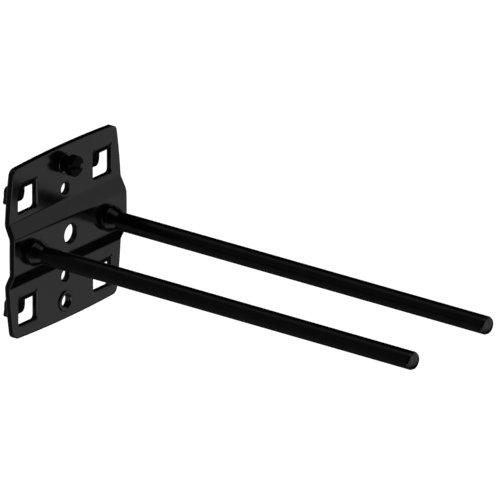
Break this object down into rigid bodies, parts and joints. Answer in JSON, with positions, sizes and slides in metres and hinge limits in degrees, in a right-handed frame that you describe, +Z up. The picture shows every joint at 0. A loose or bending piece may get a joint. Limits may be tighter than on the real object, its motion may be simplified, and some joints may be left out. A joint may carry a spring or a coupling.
{
  "type": "double hook",
  "caption": "Perforated-panel hook: pressed steel plate with bent hooking tongues, long parallel rod prongs and a slotted locking screw.",
  "frame": {"origin": "centre of the plate, in the plane of the back that bears on the panel", "axes": "+X to the right along the panel, +Y into the panel, +Z up; the prongs reach out along -Y"},
  "size_m": [0.0572, 0.1611, 0.0586],
  "materials": {
    "black_coat": "gloss black coat on steel",
    "screw_black": "matte black oxide on steel"
  },
  "bodies": {
    "hook": {"base_plate": "black_coat", "prong_left": "black_coat", "prong_right": "black_coat", "insert_upper": "black_coat", "insert_lower": "black_coat"},
    "screw": {"locking_screw": "screw_black"}
  },
  "joints": [
    {"name": "screw_turn", "type": "hinge", "parent": "hook", "child": "screw", "pos_m": [0, -0.0033, 0.02335], "axis": [0, 1, 0], "range_deg": [-540, 720]}
  ]
}
